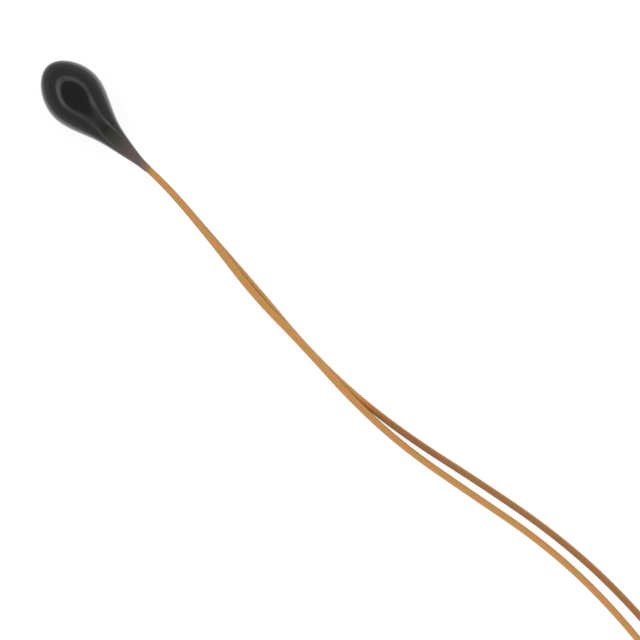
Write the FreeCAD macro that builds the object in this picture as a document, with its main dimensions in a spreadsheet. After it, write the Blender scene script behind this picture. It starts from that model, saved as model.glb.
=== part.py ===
"""NTC thermistor: a ceramic chip in a black epoxy drop, on two enamelled copper leads.

Millimetres. X runs along the drop from its round head towards the leads, Z is up, and the
drop rests on the plane Z = 0 with its box centred on the origin.
"""
import FreeCAD, Part
import math
import os
import Sketcher
from FreeCAD import Placement, Rotation, Vector

doc = FreeCAD.newDocument("thermistor")

# Driving dimensions
SIZES = {
    "head_diameter": 2.62,
    "head_reach": 1.8,
    "coat_length": 6.28,
    "coat_wall": 0.025,
    "tail_bend": 2.6,
    "axis_lean": 0.018,
    "chip_side": 1.2,
    "chip_thickness": 0.5,
    "chip_station": 1.65,
    "electrode_thickness": 0.03,
    "solder_length": 1.0,
    "solder_width": 0.7,
    "solder_height": 0.33,
    "solder_film": 0.03,
    "copper_diameter": 0.25,
    "copper_lap": 0.25,
    "enamel_wall": 0.025,
    "bare_past_chip": 0.05,
    "straight_past_chip": 1.05,
    "neck_half_run": 1.0,
    "lie_length": 37.66,
    "tin_wall": 0.015,
    "tin_length": 3.0,
    "tin_spare": 0.05,
}

sheet = doc.addObject("Spreadsheet::Sheet", "Sizes")
for row, (name, value) in enumerate(SIZES.items(), start=1):
    sheet.set(f"A{row}", name)
    sheet.set(f"B{row}", str(value))
    sheet.setAlias(f"B{row}", name)
doc.recompute()


def size(name):
    """The value of one driving dimension, read back from the sheet."""
    return float(sheet.get(name))


# Places that follow from the driving dimensions
tip_x = -size("coat_length") / 2
neck_x = size("coat_length") / 2
axis_z = size("head_diameter") / 2
chip_x = tip_x + size("chip_station")
chip_edge_x = chip_x + size("chip_side") / 2
copper_radius = size("copper_diameter") / 2
lead_radius = copper_radius + size("enamel_wall")
tin_radius = copper_radius + size("tin_wall")
electrode_z = size("chip_thickness") / 2 + size("electrode_thickness")
contact_z = electrode_z + size("solder_film") + copper_radius
copper_start_x = chip_x - size("copper_lap")
straight_end_x = chip_edge_x + size("straight_past_chip")
bare_length = chip_edge_x + size("bare_past_chip") - copper_start_x

# The lie of the leads. Each point of LIE is how far past the drop and how far aside it is, for leads
# that lie along 37.66 mm before their tips, and how high, from 0 on the surface to 1 at the drop's axis.
# The pair leaves the drop one upon the other and comes down until they part and lie side by side.
UPPER_LIE = [
    (4.06, 0.101, 0.855),
    (7.16, -0.213, 0.436),
    (10.26, -0.136, 0.325),
    (13.36, -0.208, 0.238),
    (16.46, 0.034, 0),
    (19.86, 0.779, 0),
    (23.46, 1.606, 0),
    (27.06, 1.92, 0),
    (31.26, 1.699, 0),
    (37.66, 1.091, 0),
]
LOWER_LIE = [
    (4.06, 0.139, 0.518),
    (7.16, 0.041, 0.215),
    (10.26, -0.147, 0),
    (13.36, -0.002, 0),
    (16.46, 0.525, 0),
    (19.86, 1.405, 0),
    (23.46, 2.213, 0),
    (27.06, 2.585, 0),
    (31.26, 2.462, 0),
    (37.66, 2.638, 0),
]
UPPER_TIP_HEADING = -3.0
LOWER_TIP_HEADING = 2.3

# Each lead goes through the neck between two points, set off from the axis by these many lead radii
UPPER_NECK = [(0.45, 1.1), (1.75, 0.67)]
LOWER_NECK = [(0.45, -1.1), (1.75, -1.47)]
ARC_SHARE = 0.45


def lead_route(contact_height, neck, lie, tip_heading):
    """The points that a lead's centre line turns at, from over its electrode to its tip."""
    route = [Vector(copper_start_x, 0, axis_z + contact_height),
             Vector(straight_end_x, 0, axis_z + contact_height)]
    for step, (aside, rise) in zip((-1, 1), neck):
        route.append(Vector(neck_x + step * size("neck_half_run"), aside * lead_radius,
                            axis_z + rise * lead_radius))
    stretch = size("lie_length") / lie[-1][0]
    for along, aside, rise in lie:
        route.append(Vector(neck_x + along * stretch, aside * stretch,
                            lead_radius + rise * (axis_z - lead_radius)))
    heading = Rotation(Vector(0, 0, 1), tip_heading).multVec(Vector(1, 0, 0))
    last_run = (size("tin_length") + size("tin_spare")) / (1 - ARC_SHARE)
    route.append(route[-1] + heading * last_run)
    return route


upper_route = lead_route(contact_z, UPPER_NECK, UPPER_LIE, UPPER_TIP_HEADING)
lower_route = lead_route(-contact_z, LOWER_NECK, LOWER_LIE, LOWER_TIP_HEADING)


def rounded_path(route, cut_at_start=0.0, cut_at_end=0.0):
    """The centre line, straight runs joined by tangent arcs and cut short at either end, and the arc radii.

    Each arc takes 0.45 of the shorter run on both sides of its corner.
    """
    first = (route[1] - route[0]).normalize()
    last = (route[-1] - route[-2]).normalize()
    here = route[0] + first * cut_at_start
    edges = []
    radii = []
    for before, corner, after in zip(route, route[1:], route[2:]):
        back = before - corner
        ahead = after - corner
        reach = ARC_SHARE * min(back.Length, ahead.Length)
        half_turn = (math.pi - back.getAngle(ahead)) / 2
        radius = reach / math.tan(half_turn)
        arc_start = corner + back.normalize() * reach
        arc_end = corner + ahead.normalize() * reach
        inward = (back + ahead).normalize()
        arc_middle = corner + inward * (radius / math.cos(half_turn) - radius)
        edges.append(Part.LineSegment(here, arc_start).toShape())
        edges.append(Part.Arc(arc_start, arc_middle, arc_end).toShape())
        radii.append(radius)
        here = arc_end
    edges.append(Part.LineSegment(here, route[-1] - last * cut_at_end).toShape())
    return Part.Wire(edges), radii


def bar(name, start, along, length, radius_formula):
    """A straight round bar from a point in a given direction."""
    straight = doc.addObject("Part::Cylinder", name)
    straight.Height = length
    straight.setExpression("Radius", radius_formula)
    straight.Placement = Placement(start, Rotation(Vector(0, 0, 1), along))
    return straight


def swept_bar(name, path, radius_formula):
    """A round bar swept along a path, which stays in the document beside it."""
    spine = doc.addObject("Part::Feature", name + "_path")
    spine.Shape = path
    first_edge = path.Edges[0]
    start = first_edge.valueAt(first_edge.FirstParameter)
    along = first_edge.tangentAt(first_edge.FirstParameter)
    section = doc.addObject("Part::Circle", name + "_section")
    section.setExpression("Radius", radius_formula)
    section.Placement = Placement(start, Rotation(Vector(0, 0, 1), along))
    swept = doc.addObject("Part::Sweep", name)
    swept.Sections = [section]
    swept.Spine = (spine, [f"Edge{number}" for number in range(1, len(path.Edges) + 1)])
    swept.Solid = True
    swept.Frenet = False
    return swept


def cut_away(name, base, tool):
    """One object of the document with another taken out of it."""
    result = doc.addObject("Part::Cut", name)
    result.Base = base
    result.Tool = tool
    return result


def enamelled_lead(side, route):
    """One enamelled copper wire, thinner at both ends, where the enamel is stripped off."""
    path, radii = rounded_path(route, cut_at_start=bare_length, cut_at_end=size("tin_length"))
    enamelled = swept_bar(side + "_enamelled", path, "Sizes.copper_diameter / 2 + Sizes.enamel_wall")
    first = (route[1] - route[0]).normalize()
    last = (route[-1] - route[-2]).normalize()
    bare_start = bar(side + "_bare_start", route[0], first, bare_length, "Sizes.copper_diameter / 2")
    bare_end = bar(side + "_bare_end", route[-1] - last * size("tin_length"), last,
                   size("tin_length") - tin_radius, "Sizes.copper_diameter / 2")
    wire = doc.addObject("Part::MultiFuse", side + "_lead")
    wire.Shapes = [enamelled, bare_start, bare_end]
    print(side, "lead: arc radii in mm", [round(radius, 1) for radius in radii])
    return wire, enamelled, path.Length


upper_lead, upper_enamelled, upper_length = enamelled_lead("upper", upper_route)
lower_lead, lower_enamelled, lower_length = enamelled_lead("lower", lower_route)


def sketch_on(body, role, name):
    """A sketch that lies flat on one of the body's own origin planes."""
    plane = next(feature for feature in body.Origin.OriginFeatures if feature.Role == role)
    sketch = body.newObject("Sketcher::SketchObject", name)
    sketch.AttachmentSupport = [(plane, "")]
    sketch.MapMode = "FlatFace"
    return sketch


def chip_plate(name, thickness_formula, base_z_formula):
    """A square plate as wide as the chip and over its centre, with its underside at the given height."""
    body = doc.addObject("PartDesign::Body", name)
    sketch = sketch_on(body, "XY_Plane", name + "_outline")
    half = size("chip_side") / 2
    corners = [Vector(-half, -half), Vector(half, -half), Vector(half, half), Vector(-half, half)]
    for start, end in zip(corners, corners[1:] + corners[:1]):
        sketch.addGeometry(Part.LineSegment(start, end), False)
    for line in range(4):
        sketch.addConstraint(Sketcher.Constraint("Coincident", line, 2, (line + 1) % 4, 1))
    for line in (0, 2):
        sketch.addConstraint(Sketcher.Constraint("Horizontal", line))
    for line in (1, 3):
        sketch.addConstraint(Sketcher.Constraint("Vertical", line))
    sketch.addConstraint(Sketcher.Constraint("Symmetric", 0, 1, 1, 2, -1, 1))
    width = sketch.addConstraint(Sketcher.Constraint("DistanceX", 0, 1, 0, 2, 2 * half))
    depth = sketch.addConstraint(Sketcher.Constraint("DistanceY", 1, 1, 1, 2, 2 * half))
    sketch.setExpression(f"Constraints[{width}]", "Sizes.chip_side")
    sketch.setExpression(f"Constraints[{depth}]", "Sizes.chip_side")
    pad = body.newObject("PartDesign::Pad", name + "_pad")
    pad.Profile = sketch
    pad.setExpression("Length", thickness_formula)
    body.setExpression("Placement.Base.x", "-Sizes.coat_length / 2 + Sizes.chip_station")
    body.setExpression("Placement.Base.z", base_z_formula)
    return body


# Chip: sintered metal-oxide ceramic, diced square from a plate
chip = chip_plate("thermistor_chip", "Sizes.chip_thickness",
                  "Sizes.head_diameter / 2 - Sizes.chip_thickness / 2")

# Electrodes: silver fired on the plate before it is diced, so they reach the chip's edges
upper_electrode = chip_plate("upper_electrode", "Sizes.electrode_thickness",
                             "Sizes.head_diameter / 2 + Sizes.chip_thickness / 2")
lower_electrode = chip_plate(
    "lower_electrode", "Sizes.electrode_thickness",
    "Sizes.head_diameter / 2 - Sizes.chip_thickness / 2 - Sizes.electrode_thickness")


def solder_mound(side, direction, lead):
    """Half an ellipsoid on one electrode, with the bare wire bedded in it over a thin film of solder."""
    mound = doc.addObject("Part::Ellipsoid", side + "_mound")
    mound.setExpression("Radius1", "Sizes.solder_height")
    mound.setExpression("Radius2", "Sizes.solder_length / 2")
    mound.setExpression("Radius3", "Sizes.solder_width / 2")
    mound.Angle1 = 0
    mound.Angle2 = 90
    if direction < 0:
        mound.Placement.Rotation = Rotation(Vector(1, 0, 0), 180)
    mound.setExpression("Placement.Base.x", "-Sizes.coat_length / 2 + Sizes.chip_station")
    mound.setExpression(
        "Placement.Base.z",
        f"Sizes.head_diameter / 2 + {direction} * (Sizes.chip_thickness / 2 + Sizes.electrode_thickness)")
    return mound, cut_away(side + "_solder", mound, lead)


upper_mound, upper_solder = solder_mound("upper", 1, upper_lead)
lower_mound, lower_solder = solder_mound("lower", -1, lower_lead)

# Epoxy drop: its half-width, first as shares of the head's reach and radius, then of the way on from
# the widest ring to the neck and of what the head stands out beyond the neck. Its axis leans a little
# aside. Its rings are round as far as the tail's bend, then turn tall and oval to hold one lead above
# the other, while the axis bends over to where they leave.
NOSE = [(0.051, 0.283), (0.326, 0.704)]
TAIL = [(0.25, 0.74), (0.45, 0.41), (0.62, 0.237), (0.8, 0.094), (0.9, 0.027)]
RING = [(1, 0), (1, 1), (0, 1), (-1, 1), (-1, 0), (-1, -1), (0, -1), (1, -1), (1, 0)]
ROUND_CORNER = math.sqrt(0.5)
OVAL_CORNER = 2.0
BEND_POWER = 1.85
OVAL_POWER = 3


def neck_point(route):
    """Where a lead leaves the drop: half way from the third point of its route to the fourth."""
    return (route[2] + route[3]) / 2


def drop_outline(neck_width):
    """The drop's half-width along its axis, a smooth curve that starts square to the axis at the tip."""
    reach = size("head_reach")
    head = size("head_diameter") / 2
    points = [Vector(0, 0, 0)]
    points += [Vector(reach * along, head * out, 0) for along, out in NOSE]
    points.append(Vector(reach, head, 0))
    for along, out in TAIL:
        x = reach + (size("coat_length") - reach) * along
        points.append(Vector(x, neck_width + (head - neck_width) * out, 0))
    points.append(Vector(size("coat_length"), neck_width, 0))
    outline = Part.BSplineCurve()
    outline.interpolate(Points=points, Tangents=[Vector(0, 1, 0)] * len(points),
                        TangentFlags=[place == 0 for place in range(len(points))])
    return outline


def drop_solid():
    """The drop: each pole of its outline becomes a ring of nine poles, and a flat face closes the neck."""
    upper_neck = neck_point(upper_route)
    lower_neck = neck_point(lower_route)
    neck_centre = (upper_neck + lower_neck) / 2
    neck_width = lead_radius + size("coat_wall")
    neck_height = neck_width + (upper_neck - lower_neck).Length / 2
    outline = drop_outline(neck_width)
    neck_lean = size("axis_lean") * (size("coat_length") - size("head_reach"))
    rings = []
    weights = []
    for pole in outline.getPoles():
        tail = max(0.0, pole.x - size("tail_bend")) / (size("coat_length") - size("tail_bend"))
        bend = tail ** BEND_POWER
        oval = 1 - (1 - tail ** 2) ** OVAL_POWER
        width = pole.y
        height = math.sqrt(width ** 2 + (neck_height ** 2 - neck_width ** 2) * oval)
        centre_y = size("axis_lean") * (size("head_reach") - pole.x) + (neck_centre.y + neck_lean) * bend
        centre_z = axis_z + (neck_centre.z - axis_z) * bend
        corner = ROUND_CORNER + (OVAL_CORNER - ROUND_CORNER) * oval ** 2
        rings.append([Vector(tip_x + pole.x, centre_y + width * side, centre_z + height * rise)
                      for side, rise in RING])
        weights.append([corner if side and rise else 1.0 for side, rise in RING])
    surface = Part.BSplineSurface()
    surface.buildFromPolesMultsKnots(
        rings, outline.getMultiplicities(), [3, 2, 2, 2, 3], outline.getKnots(), [0, 1, 2, 3, 4],
        False, False, outline.Degree, 2, weights)
    skin = surface.toShape()
    rim = next(edge for edge in skin.Edges
               if not edge.Degenerated and edge.isClosed() and abs(edge.CenterOfMass.x - neck_x) < 1e-6)
    shell = Part.Shell([skin, Part.Face(Part.Wire([rim]))])
    shell.sewShape()
    return Part.Solid(shell)


drop = doc.addObject("Part::Feature", "epoxy_drop")
drop.Shape = drop_solid()

# Epoxy coat: the drop fills every space round the pieces that were dipped in it
contents = doc.addObject("Part::MultiFuse", "coat_contents")
contents.Shapes = [chip, upper_electrode, lower_electrode, upper_mound, lower_mound,
                   upper_lead, lower_lead]
coat = cut_away("epoxy_coat", drop, contents)


def tinned_end(side, route):
    """A skin of tin on the stripped end of a lead, closed by a round nib over the end of the copper."""
    body = doc.addObject("PartDesign::Body", side + "_lead_tin")
    sketch = sketch_on(body, "XZ_Plane", side + "_tin_profile")
    top_z = size("tin_length")
    nib_z = top_z - tin_radius
    outer = [Vector(copper_radius, 0), Vector(tin_radius, 0), Vector(tin_radius, nib_z)]
    inner = [Vector(0, top_z), Vector(0, nib_z), Vector(copper_radius, nib_z), Vector(copper_radius, 0)]
    for start, end in zip(outer, outer[1:]):
        sketch.addGeometry(Part.LineSegment(start, end), False)
    nib = Part.Circle(Vector(0, nib_z), Vector(0, 0, 1), tin_radius)
    sketch.addGeometry(Part.ArcOfCircle(nib, 0, math.pi / 2), False)
    for start, end in zip(inner, inner[1:]):
        sketch.addGeometry(Part.LineSegment(start, end), False)
    foot, wall, arc, middle, floor, bore = range(6)
    for first, first_end, second, second_end in (
            (foot, 2, wall, 1), (arc, 2, middle, 1), (arc, 3, middle, 2),
            (middle, 2, floor, 1), (floor, 2, bore, 1), (bore, 2, foot, 1)):
        sketch.addConstraint(Sketcher.Constraint("Coincident", first, first_end, second, second_end))
    sketch.addConstraint(Sketcher.Constraint("Tangent", wall, 2, arc, 1))
    sketch.addConstraint(Sketcher.Constraint("Horizontal", foot))
    sketch.addConstraint(Sketcher.Constraint("Horizontal", floor))
    sketch.addConstraint(Sketcher.Constraint("Vertical", bore))
    sketch.addConstraint(Sketcher.Constraint("PointOnObject", middle, 1, -2))
    sketch.addConstraint(Sketcher.Constraint("PointOnObject", middle, 2, -2))
    sketch.addConstraint(Sketcher.Constraint("PointOnObject", foot, 1, -1))
    bore_radius = sketch.addConstraint(Sketcher.Constraint("DistanceX", -1, 1, foot, 1, copper_radius))
    outer_radius = sketch.addConstraint(Sketcher.Constraint("DistanceX", -1, 1, foot, 2, tin_radius))
    length = sketch.addConstraint(Sketcher.Constraint("DistanceY", -1, 1, middle, 1, top_z))
    sketch.setExpression(f"Constraints[{bore_radius}]", "Sizes.copper_diameter / 2")
    sketch.setExpression(f"Constraints[{outer_radius}]", "Sizes.copper_diameter / 2 + Sizes.tin_wall")
    sketch.setExpression(f"Constraints[{length}]", "Sizes.tin_length")
    turned = body.newObject("PartDesign::Revolution", side + "_tin_turned")
    turned.Profile = sketch
    turned.ReferenceAxis = (sketch, ["V_Axis"])
    turned.Angle = 360
    outward = (route[-1] - route[-2]).normalize()
    body.Placement = Placement(route[-1] - outward * top_z, Rotation(Vector(0, 0, 1), outward))
    return body


upper_tin = tinned_end("upper", upper_route)
lower_tin = tinned_end("lower", lower_route)

NODES = [coat, chip, upper_electrode, lower_electrode, upper_solder, lower_solder,
         upper_lead, lower_lead, upper_tin, lower_tin]

doc.recompute()

for item in doc.Objects:
    if "Invalid" in item.State or "Error" in item.State:
        raise RuntimeError(f"{item.Label} failed to build: {item.State}")
for node in NODES:
    if node.Shape.isNull() or not node.Shape.isValid():
        raise RuntimeError(f"{node.Label} is not a valid solid")

# Each enamelled stretch's volume beside its section times its length
section_area = math.pi * lead_radius ** 2
for enamelled, length in ((upper_enamelled, upper_length), (lower_enamelled, lower_length)):
    print(f"{enamelled.Label}: length {length:.3f} mm, volume {enamelled.Shape.Volume:.5f} mm3, "
          f"section times length {section_area * length:.5f} mm3")

os.makedirs("parts", exist_ok=True)
for node in NODES:
    node.Shape.exportStep(f"parts/{node.Label}.step")
    print(f"{node.Label}: {len(node.Shape.Solids)} solid, {node.Shape.Volume:.5f} mm3")
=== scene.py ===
"""A small epoxy-dipped thermistor on two enamelled copper leads, seen straight from above."""

import math

import bpy
import numpy as np
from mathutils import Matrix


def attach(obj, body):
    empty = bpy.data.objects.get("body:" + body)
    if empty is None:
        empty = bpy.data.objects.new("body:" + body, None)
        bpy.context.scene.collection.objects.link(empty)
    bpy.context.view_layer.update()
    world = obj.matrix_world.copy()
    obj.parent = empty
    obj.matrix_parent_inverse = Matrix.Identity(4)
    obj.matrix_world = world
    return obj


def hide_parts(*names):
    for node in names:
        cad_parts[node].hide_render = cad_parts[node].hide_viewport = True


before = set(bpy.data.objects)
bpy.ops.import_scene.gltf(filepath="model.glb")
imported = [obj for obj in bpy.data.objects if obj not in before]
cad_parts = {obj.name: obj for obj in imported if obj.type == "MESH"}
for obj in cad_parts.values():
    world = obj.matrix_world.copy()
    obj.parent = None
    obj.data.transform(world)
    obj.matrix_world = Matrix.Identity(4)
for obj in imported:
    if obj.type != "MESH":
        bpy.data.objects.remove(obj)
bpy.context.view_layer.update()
scene = bpy.context.scene
scene.view_settings.view_transform = "Standard"

# Camera: straight above the part, with a long lens, turned so that the drop points down to the right
# at 47 degrees. It sees a square 27.9 mm wide.
VIEW_CENTRE = (0.013035, 0.001152)
VIEW_WIDTH = 0.0279
VIEW_TURN = math.radians(46.97)
CAMERA_HEIGHT = 0.6
lens = bpy.data.cameras.new("camera")
lens.sensor_width = 36
lens.lens = lens.sensor_width * CAMERA_HEIGHT / VIEW_WIDTH
lens.clip_start = 0.001
camera = bpy.data.objects.new("camera", lens)
camera.location = (*VIEW_CENTRE, CAMERA_HEIGHT)
camera.rotation_euler = (0, 0, VIEW_TURN)
scene.collection.objects.link(camera)
scene.camera = camera


# Leads: soft copper wire drawn round and coated with clear amber enamel, 0.30 mm over the enamel.
# Both come out of the drop's neck, one upon the other, reach the surface and part. The lower one is browner
# past the place where they part; where the browning sets in, its tint is partly painted light, held lighter
# to make up for the shade that the upper lead casts on it there.
LEAD_DIAMETER = 0.0003
UPPER_ROUTE = [
    (-0.00084, 0, 0.001745), (0.00016, 0, 0.001745), (0.00214, 0.0000675, 0.001475),
    (0.00414, 0.0002625, 0.0014105), (0.0072, 0.000101, 0.0011418), (0.0103, -0.000213, 0.0006558),
    (0.0134, -0.000136, 0.000527), (0.0165, -0.000208, 0.0004261), (0.0196, 0.000034, 0.00015),
    (0.023, 0.000779, 0.00015), (0.0266, 0.001606, 0.00015), (0.0302, 0.00192, 0.00015),
    (0.0344, 0.001699, 0.00015), (0.0408, 0.001091, 0.00015), (0.043342, 0.000958, 0.00015),
]
LOWER_ROUTE = [
    (-0.00084, 0, 0.000875), (0.00016, 0, 0.000875), (0.00214, 0.0000675, 0.001145),
    (0.00414, 0.0002625, 0.0010895), (0.0072, 0.000139, 0.0007509), (0.0103, 0.000041, 0.0003994),
    (0.0134, -0.000147, 0.00015), (0.0165, -0.000002, 0.00015), (0.0196, 0.000525, 0.00015),
    (0.023, 0.001405, 0.00015), (0.0266, 0.002213, 0.00015), (0.0302, 0.002585, 0.00015),
    (0.0344, 0.002462, 0.00015), (0.0408, 0.002638, 0.00015), (0.043343, 0.00274, 0.00015),
]
OLIVE_AMBER = (0.47, 0.3, 0.054)
RED_AMBER = (0.66, 0.238, 0.073)
CLEAR = (1, 1, 1)
FILM_TRACE = (0.55, 0.68, 0.95)
# A stain's stops go by the share of STAIN_REACH along X. A trace of epoxy tints both leads at the neck.
STAIN_REACH = 0.025
NECK_STAIN = [(0.125, FILM_TRACE), (0.137, CLEAR)]
# The lower lead's browning past the parting. Near the parting its stops are partly painted light, lighter
# to offset the upper lead's shade.
BROWNER_PAST_PARTING = [
    (0.665, CLEAR), (0.69, (0.8, 0.6, 0.47)), (0.71, (0.62, 0.47, 0.36)), (0.74, (0.54, 0.45, 0.43)),
    (0.8, (0.52, 0.44, 0.48)), (0.84, (0.55, 0.5, 0.59)), (0.9, (0.6, 0.53, 0.62)),
]


class Tone:
    """A shader socket that Python's arithmetic works on. Each operator adds one Math node."""

    def __init__(self, tree, socket=None):
        self.tree = tree
        self.socket = socket

    def node(self, kind, settings=(), sockets=(), out=0):
        """Adds any other node: its settings, such as a ramp's stops, and its sockets' values or links."""
        made = self.tree.nodes.new("ShaderNode" + kind)
        for name, value in dict(settings).items():
            if name == "stops":
                ramp = made.color_ramp.elements
                while len(ramp) < len(value):
                    ramp.new(0.5)
                for stop, (place, colour) in zip(ramp, value):
                    stop.position = place
                    stop.color = (*colour, 1)
            else:
                setattr(made, name, value)
        for name, value in dict(sockets).items():
            if isinstance(value, Tone):
                self.tree.links.new(value.socket, made.inputs[name])
            else:
                made.inputs[name].default_value = value
        return Tone(self.tree, made.outputs[out])

    def __add__(self, other):
        return self.node("Math", {"operation": "ADD"}, {0: self, 1: other})

    def __sub__(self, other):
        return self.node("Math", {"operation": "SUBTRACT"}, {0: self, 1: other})

    def __rsub__(self, other):
        return self.node("Math", {"operation": "SUBTRACT"}, {0: other, 1: self})

    def __mul__(self, other):
        return self.node("Math", {"operation": "MULTIPLY"}, {0: self, 1: other})

    __radd__ = __add__
    __rmul__ = __mul__


def empty_finish(name):
    """A new material, the Tone that adds nodes to it, and the Object coordinates as a Tone."""
    material = bpy.data.materials.new(name)
    material.use_nodes = True
    material.node_tree.nodes.clear()
    tone = Tone(material.node_tree)
    return material, tone, tone.node("TexCoord", out="Object")


def finished(material, surface, kind="Material"):
    """The material, or the world, with its surface shader joined to its output."""
    output = material.node_tree.nodes.new("ShaderNodeOutput" + kind)
    material.node_tree.links.new(surface.socket, output.inputs["Surface"])
    return material


def axis(vector, letter):
    """The vector's part along X, Y or Z."""
    return vector.node("SeparateXYZ", {}, {"Vector": vector}, out=letter)


def noise(place, scale, detail, roughness=0.5):
    """Cloudy noise from 0 to 1, with about as many clouds to the metre as its scale says."""
    return place.node("TexNoise", {}, {
        "Vector": place, "Scale": scale, "Detail": detail, "Roughness": roughness})


def mapped(value, span, onto=(0.0, 1.0), curve="LINEAR"):
    """The value, brought from one span onto another, evenly or by a smooth step, and held at its ends."""
    return value.node("MapRange", {"interpolation_type": curve}, {
        "Value": value, "From Min": span[0], "From Max": span[1], "To Min": onto[0], "To Max": onto[1]})


def between(value, low, high):
    """The value, which goes from 0 to 1, brought to go from low to high."""
    return value * (high - low) + low


def shaded(value, stops):
    """The colour that the value picks from the stops, blended evenly from each stop to the next."""
    return value.node("ValToRGB", {"stops": stops}, {"Fac": value})


def mixed(tone, factor, first, second, blend="MIX"):
    """Two colours mixed by a factor, by going from the first to the second or by multiplying them.

    The Mix node names its sockets for colours as it does those for numbers, so they go by their
    places: 6 and 7 in, and 2 out.
    """
    return tone.node("Mix", {"data_type": "RGBA", "blend_type": blend},
                     {"Factor": factor, 6: first, 7: second}, out=2)


def relief(height, strength, distance):
    """The surface's normal, leaned as if the surface stood up by the distance where the height is 1."""
    return height.node("Bump", {}, {"Height": height, "Strength": strength, "Distance": distance})


def enamel_finish(name, tint_stops):
    """Amber enamel on copper, mottled between two ambers, and tinted along the lead by the given stops.

    The side that faces +Y is paler: painted light, which fades the tint back towards the plain amber there.
    """
    material, tone, place = empty_finish(name)
    mottle = noise(place, scale=4600, detail=3, roughness=0.6)
    streak = noise(place, scale=14000, detail=2)
    amber = shaded(mottle, [(0.38, OLIVE_AMBER), (0.62, RED_AMBER)])
    tint = shaded(mapped(axis(place, "X"), span=(0.0, STAIN_REACH)), tint_stops)
    tinted_amber = mixed(tone, 1.0, amber, tint, "MULTIPLY")
    facing = axis(tone.node("TexCoord", out="Normal"), "Y")
    # Painted light: the side of each lead that faces +Y is lightened, up to 0.4 of the way back to the
    # plain amber.
    painted_light_side = mapped(facing, span=(0.2, 0.95), onto=(0.0, 0.4), curve="SMOOTHSTEP")
    surface = tone.node("BsdfPrincipled", {}, {
        "Base Color": mixed(tone, painted_light_side, tinted_amber, amber), "Metallic": 0.25,
        "Roughness": between(mottle, low=0.3, high=0.5),
        "Normal": relief(streak, strength=0.12, distance=0.000004),
        "Coat Weight": 0.4, "Coat Roughness": 0.2, "IOR": 1.5})
    return finished(material, surface)


def lead(name, route, material):
    """A round wire whose centre line is a NURBS curve of order 3 on the route's points.

    Such a curve goes through the middle of each run between its end runs. The lead leaves the neck in
    the middle of the third.
    """
    wire = bpy.data.curves.new(name, "CURVE")
    wire.dimensions = "3D"
    line = wire.splines.new("NURBS")
    line.points.add(len(route) - 1)
    line.points.foreach_set("co", np.c_[route, np.ones(len(route))].ravel())
    line.order_u = 3
    line.use_endpoint_u = True
    line.resolution_u = 12
    wire.bevel_depth = LEAD_DIAMETER / 2
    wire.bevel_resolution = 6
    wire.use_fill_caps = True
    wire.materials.append(material)
    piece = bpy.data.objects.new(name + "_wire", wire)
    scene.collection.objects.link(piece)
    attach(piece, "root")
    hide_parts(name)


amber_enamel = enamel_finish("amber_enamel", NECK_STAIN)
brown_enamel = enamel_finish("brown_enamel", NECK_STAIN + BROWNER_PAST_PARTING)
lead("upper_lead", UPPER_ROUTE, amber_enamel)
lead("lower_lead", LOWER_ROUTE, brown_enamel)


# Light and floor: a white light tent with a row of panels halfway up, some brighter than others, and a
# dark opening overhead for the camera. It stands on white paper, and a broad soft lamp over the tent
# fills the colours in.
# The tent's brightness and the row's go by height, from 0 at the floor to 1 overhead. The panels' goes
# by bearing: 0 at the drop's head, 0.25 at -Y, 0.5 at the leads' far end, and 1 back at the head.
TENT = [(0.0, 0.42), (0.38, 0.45), (0.5, 0.45), (0.6, 0.4), (0.75, 0.18), (1.0, 0.15)]
BAND = [(0.43, 0.0), (0.55, 1.5), (0.64, 1.5), (0.74, 0.0)]
PANELS = [
    (0.0, 0.6), (0.04, 0.85), (0.1, 1.0), (0.2, 1.0), (0.3, 0.46), (0.38, 0.36), (0.43, 0.2),
    (0.585, 0.2), (0.62, 0.8), (0.645, 0.75), (0.685, 0.36), (0.76, 0.52), (0.88, 0.66), (0.93, 0.66),
    (0.955, 0.4), (1.0, 0.6),
]
FULL_RAMP = 2.0


def levels(stops, value):
    """A grey ramp of the given levels, divided by FULL_RAMP because a ramp's colours stop at 1."""
    return shaded(value, [(place, (level / FULL_RAMP,) * 3) for place, level in stops])


world = bpy.data.worlds.new("light_tent")
world.use_nodes = True
world.node_tree.nodes.clear()
tone = Tone(world.node_tree)
sight = tone.node("TexCoord", out="Generated")
east, north, height = (axis(sight, letter) for letter in "XYZ")
angle = tone.node("Math", {"operation": "ARCTAN2"}, {0: north, 1: east})
bearing = mapped(angle, span=(-math.pi, math.pi))
tent_wall = levels(TENT, height) + levels(BAND, height) * levels(PANELS, bearing) * FULL_RAMP
tent_light = tone.node("Background", {}, {"Color": tent_wall, "Strength": FULL_RAMP})
backdrop = tone.node("Background", {}, {"Color": (1, 1, 1, 1), "Strength": 1.0})
seen = tone.node("LightPath", out="Is Camera Ray")
scene.world = finished(world, tone.node("MixShader", {}, {0: seen, 1: tent_light, 2: backdrop}), "World")

lamp_light = bpy.data.lights.new("overhead_lamp", "AREA")
lamp_light.shape = "DISK"
lamp_light.size = 1.2
lamp_light.energy = 3.6
lamp = bpy.data.objects.new("overhead_lamp", lamp_light)
lamp.location = (0.02, 0.06, 0.4)
lamp.visible_glossy = False
scene.collection.objects.link(lamp)

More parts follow.
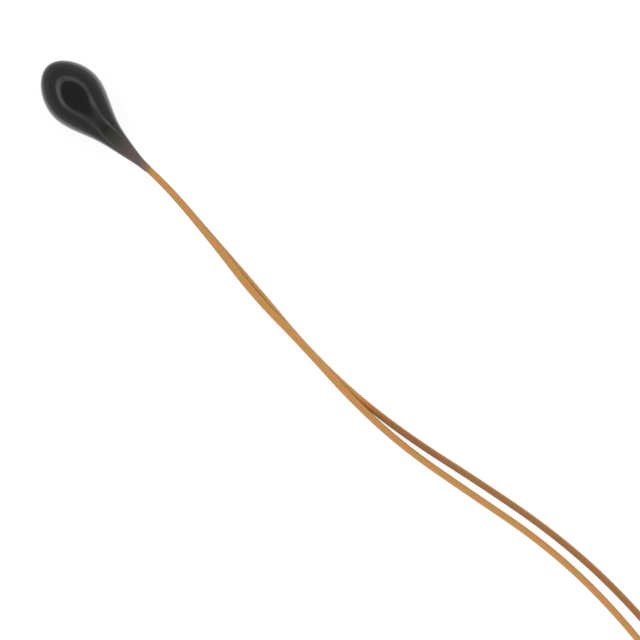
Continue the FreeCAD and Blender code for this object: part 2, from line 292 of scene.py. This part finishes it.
# The camera sees the paper white mostly by its own glow, and partly by the light that falls on it, which
# keeps the shadow. What is glossy mirrors a glow close round the drop and another under the leads.
FLOOR_REACH = 2.0
PAPER = (0.45, 0.45, 0.45, 1)
SEEN_PAPER = (0.2, 0.2, 0.2, 1)
SEEN_GLOW = 0.83
DROP_GLOW = 0.92
DROP_GLOW_FADE = (0.0015, 0.0067)
LEAD_GLOW = 0.45
LEAD_GLOW_RISE = (0.005, 0.01)
LEAD_GLOW_SIDES = (0.002, 0.007)
floor_mesh = bpy.data.meshes.new("floor")
corners = [(x * FLOOR_REACH, y * FLOOR_REACH, 0) for x, y in ((-1, -1), (1, -1), (1, 1), (-1, 1))]
floor_mesh.from_pydata(corners, [], [(0, 1, 2, 3)])
floor = bpy.data.objects.new("floor", floor_mesh)
scene.collection.objects.link(floor)
floor_finish, tone, place = empty_finish("white_floor")
seen = tone.node("LightPath", out="Is Camera Ray")
mirrored = tone.node("LightPath", out="Is Glossy Ray")
paper = tone.node("BsdfDiffuse", {}, {"Color": mixed(tone, seen, PAPER, SEEN_PAPER)})
from_drop = tone.node("VectorMath", {"operation": "LENGTH"}, {0: place}, out="Value")
round_drop = mapped(from_drop, span=DROP_GLOW_FADE, onto=(DROP_GLOW, 0.0), curve="SMOOTHSTEP")
past_drop = mapped(axis(place, "X"), span=LEAD_GLOW_RISE, onto=(0.0, LEAD_GLOW), curve="SMOOTHSTEP")
aside = tone.node("Math", {"operation": "ABSOLUTE"}, {0: axis(place, "Y")})
beside_leads = mapped(aside, span=LEAD_GLOW_SIDES, onto=(1.0, 0.0), curve="SMOOTHSTEP")
glow = tone.node("Emission", {}, {
    "Color": seen * SEEN_GLOW + mirrored * (round_drop + past_drop * beside_leads), "Strength": 1.0})
floor_mesh.materials.append(finished(floor_finish, tone.node("AddShader", {}, {0: paper, 1: glow})))


# Epoxy drop: liquid black epoxy that the chip and its leads were dipped in, pulled round by its own
# surface tension and drawn out along the leads to a film thin enough to look brown.
DROP_START = -0.00314
DROP_LENGTH = 0.00628
HEAD_REACH = 0.0018
HEAD_RADIUS = 0.001309
AXIS_HEIGHT = 0.00131
AXIS_LEAN = 0.018
TAIL_BEND = 0.0026
BEND_POWER = 1.85
NECK_WIDTH = 0.000175
NECK_HEIGHT = 0.00033775
NECK_SIDE = 0.000165
NECK_DROP = -0.00003
NOSE = [(0.051, 0.283), (0.326, 0.704)]
TAIL = [(0.25, 0.74), (0.45, 0.41), (0.62, 0.237), (0.8, 0.094), (0.9, 0.027)]
ROUND_CORNER = math.sqrt(0.5)
OVAL_CORNER = 2.0
RINGS = 121
RING_POINTS = 64
# The film's colours go by the share of the drop's length. Their edges slant across the tail, from no
# slant before FILM_SLANT_RISE to the full one past it.
FILM_SLANT = 0.8
FILM_SLANT_RISE = (0.0015, 0.003)
FILM = [
    (0.0, (0.0085, 0.009, 0.008)), (0.45, (0.009, 0.0095, 0.0085)), (0.52, (0.0125, 0.013, 0.0115)),
    (0.6, (0.016, 0.0165, 0.0145)), (0.65, (0.029, 0.0285, 0.025)), (0.72, (0.047, 0.046, 0.034)),
    (0.785, (0.08, 0.06, 0.06)), (0.86, (0.113, 0.082, 0.072)), (0.9, (0.105, 0.084, 0.08)),
    (0.955, (0.18, 0.116, 0.0925)), (0.975, (0.2, 0.13, 0.09)), (1.0, (0.26, 0.165, 0.09)),
]
CLOUD_TINT = (0.75, 0.8, 0.7, 1)
CLOUD_SHARE = 0.5


def drop_profile(steps):
    """The drop's reach and half-width: a cubic spline through its points by chord length.

    The spline's slopes solve the usual three-term equations that make its bend continuous, with the
    slope straight out at the tip and no bend at the neck.
    """
    points = [(0, 0)]
    points += [(HEAD_REACH * along, HEAD_RADIUS * out) for along, out in NOSE]
    points.append((HEAD_REACH, HEAD_RADIUS))
    points += [(HEAD_REACH + (DROP_LENGTH - HEAD_REACH) * along,
                NECK_WIDTH + (HEAD_RADIUS - NECK_WIDTH) * out) for along, out in TAIL]
    points.append((DROP_LENGTH, NECK_WIDTH))
    points = np.array(points)
    gaps = np.linalg.norm(np.diff(points, axis=0), axis=1)
    count = len(points)
    equations = np.zeros((count, count))
    sides = np.zeros((count, 2))
    equations[0, 0] = 1
    sides[0] = (0, 1)
    inner = np.arange(1, count - 1)
    before, after = gaps[:-1], gaps[1:]
    rise = np.diff(points, axis=0) / gaps[:, None]
    equations[inner, inner - 1] = after
    equations[inner, inner] = 2 * (before + after)
    equations[inner, inner + 1] = before
    sides[inner] = 3 * (after[:, None] * rise[:-1] + before[:, None] * rise[1:])
    equations[-1, -2:] = (1, 2)
    sides[-1] = 3 * rise[-1]
    slopes = np.linalg.solve(equations, sides)
    span = np.linspace(0, count - 1, steps)
    piece = np.minimum(span.astype(int), count - 2)
    share = (span - piece)[:, None]
    gap = gaps[piece][:, None]
    start, end = points[piece], points[piece + 1]
    leaving, arriving = slopes[piece], slopes[piece + 1]
    return (start * (1 + 2 * share) * (1 - share) ** 2 + end * share ** 2 * (3 - 2 * share)
            + gap * (leaving * share * (1 - share) ** 2 - arriving * share ** 2 * (1 - share)))


def drop_grid(steps, around):
    """The drop's skin as rings of points: along its axis, then round each ring.

    Each quarter of a ring is a rational parabola from side to top with its corner weighted; the weight
    and the ring's height grow past the tail's bend, where the ring turns tall round both leads. Both
    follow one minus the cube of one minus the square of the way down the tail. The rings' centres lean
    aside in a straight line, and past the bend they curve back over to the leads.
    """
    profile = drop_profile(steps)
    x, width = profile[:, 0], profile[:, 1]
    tail = np.maximum(0, x - TAIL_BEND) / (DROP_LENGTH - TAIL_BEND)
    bend = tail ** BEND_POWER
    oval = 1 - (1 - tail ** 2) ** 3
    neck_lean = AXIS_LEAN * (DROP_LENGTH - HEAD_REACH)
    aside = AXIS_LEAN * (HEAD_REACH - x) + (NECK_SIDE + neck_lean) * bend
    height = np.sqrt(width ** 2 + (NECK_HEIGHT ** 2 - NECK_WIDTH ** 2) * oval)
    corner = (ROUND_CORNER + (OVAL_CORNER - ROUND_CORNER) * oval ** 2)[:, None]
    turn = np.arange(around) * 4 / around
    quarter = turn.astype(int)
    share = turn - quarter
    first, middle, last = (1 - share) ** 2, 2 * share * (1 - share) * corner, share ** 2
    total = first + middle + last
    out, up = (first + middle) / total, (middle + last) / total
    side = np.select([quarter == 0, quarter == 1, quarter == 2], [out, -up, -out], up)
    rise = np.select([quarter == 0, quarter == 1, quarter == 2], [up, out, -up], -out)
    grid = np.empty((steps, around, 3))
    grid[..., 0] = (DROP_START + x)[:, None]
    grid[..., 1] = aside[:, None] + width[:, None] * side
    grid[..., 2] = (AXIS_HEIGHT + NECK_DROP * bend)[:, None] + height[:, None] * rise
    return grid


def skin(name, grid):
    """A closed mesh over a grid of rings: quads between the rings, and a fan of triangles at either end."""
    steps, around, _ = grid.shape
    number = np.arange(steps * around).reshape(steps, around)
    beside = np.roll(number, -1, axis=1)
    quads = np.stack([number[:-1], number[1:], beside[1:], beside[:-1]], -1).reshape(-1, 4)
    ends = grid[[0, -1]].mean(axis=1)
    first, last = steps * around, steps * around + 1
    tip_fan = np.stack([np.full(around, first), number[0], beside[0]], -1)
    neck_fan = np.stack([np.full(around, last), beside[-1], number[-1]], -1)
    mesh = bpy.data.meshes.new(name)
    mesh.from_pydata(np.vstack([grid.reshape(-1, 3), ends]).tolist(), [],
                     quads.tolist() + tip_fan.tolist() + neck_fan.tolist())
    mesh.polygons.foreach_set("use_smooth", np.ones(len(mesh.polygons), bool))
    return mesh


epoxy_finish, tone, place = empty_finish("black_epoxy")
distance = axis(place, "X")
slant = mapped(distance, span=FILM_SLANT_RISE, onto=(0.0, FILM_SLANT))
slanted = distance + (axis(place, "Y") - NECK_SIDE) * slant
along = mapped(slanted, span=(DROP_START, DROP_START + DROP_LENGTH))
cloud = noise(place, scale=900, detail=4, roughness=0.55)
tinted = mixed(tone, cloud * CLOUD_SHARE, shaded(along, FILM), CLOUD_TINT, "MULTIPLY")
epoxy_surface = tone.node("BsdfPrincipled", {}, {
    "Base Color": tinted, "Roughness": between(cloud, low=0.06, high=0.12),
    "Normal": relief(cloud, strength=0.1, distance=0.00004), "IOR": 1.5})
# The first ring has no width, so the tip's fan closes on the second.
drop = bpy.data.objects.new("epoxy_skin", skin("epoxy_skin", drop_grid(RINGS, RING_POINTS)[1:]))
drop.data.materials.append(finished(epoxy_finish, epoxy_surface))
scene.collection.objects.link(drop)
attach(drop, "root")
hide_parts("epoxy_coat")


# Tinned ends: each lead is stripped of its enamel and dipped in molten tin, which leaves a thin bright
# skin and a round nib.
DULL_TIN = (0.62, 0.62, 0.6)
BRIGHT_TIN = (0.82, 0.82, 0.8)
tin_finish, tone, place = empty_finish("dipped_tin")
flow = noise(place, scale=3200, detail=3, roughness=0.6)
tin_surface = tone.node("BsdfPrincipled", {}, {
    "Base Color": shaded(flow, [(0.3, DULL_TIN), (0.75, BRIGHT_TIN)]), "Metallic": 1.0,
    "Roughness": between(flow, low=0.2, high=0.45),
    "Normal": relief(flow, strength=0.25, distance=0.00002)})
finished(tin_finish, tin_surface)
for side in ("upper", "lower"):
    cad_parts[side + "_lead_tin"].material_slots[0].material = tin_finish


# Chip: dark metal oxides pressed and sintered to a fine-grained ceramic, then diced square. It has
# the solder and the leads on it when it is dipped.
DARK_OXIDE = (0.018, 0.017, 0.016)
PALE_OXIDE = (0.045, 0.042, 0.038)
oxide_finish, tone, place = empty_finish("sintered_oxide")
grain = tone.node("TexVoronoi", {}, {"Vector": place, "Scale": 26000}, out="Distance")
oxide_surface = tone.node("BsdfPrincipled", {}, {
    "Base Color": shaded(grain, [(0.1, DARK_OXIDE), (0.8, PALE_OXIDE)]),
    "Roughness": between(grain, low=0.6, high=0.8),
    "Normal": relief(grain, strength=0.3, distance=0.000006)})
finished(oxide_finish, oxide_surface)
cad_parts["thermistor_chip"].material_slots[0].material = oxide_finish


# Electrodes: silver paste printed on both faces of the ceramic and fired to a thin film, slightly
# rough, that solder wets.
DULL_SILVER = (0.6, 0.59, 0.55)
BRIGHT_SILVER = (0.8, 0.79, 0.74)
silver_finish, tone, place = empty_finish("fired_silver")
print_grain = noise(place, scale=18000, detail=2)
silver_surface = tone.node("BsdfPrincipled", {}, {
    "Base Color": shaded(print_grain, [(0.3, DULL_SILVER), (0.7, BRIGHT_SILVER)]), "Metallic": 1.0,
    "Roughness": between(print_grain, low=0.35, high=0.65)})
finished(silver_finish, silver_surface)
for side in ("upper", "lower"):
    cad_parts[side + "_electrode"].material_slots[0].material = silver_finish


# Solder: one mound on each electrode, drawn up round the bare end of a lead while it was molten and
# frozen with a faint frost.
DULL_SOLDER = (0.45, 0.45, 0.44)
BRIGHT_SOLDER = (0.68, 0.68, 0.67)
solder_finish, tone, place = empty_finish("frozen_solder")
frost = noise(place, scale=7000, detail=4, roughness=0.65)
solder_surface = tone.node("BsdfPrincipled", {}, {
    "Base Color": shaded(frost, [(0.35, DULL_SOLDER), (0.7, BRIGHT_SOLDER)]), "Metallic": 1.0,
    "Roughness": between(frost, low=0.25, high=0.5),
    "Normal": relief(frost, strength=0.3, distance=0.00001)})
finished(solder_finish, solder_surface)
for side in ("upper", "lower"):
    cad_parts[side + "_solder"].material_slots[0].material = solder_finish
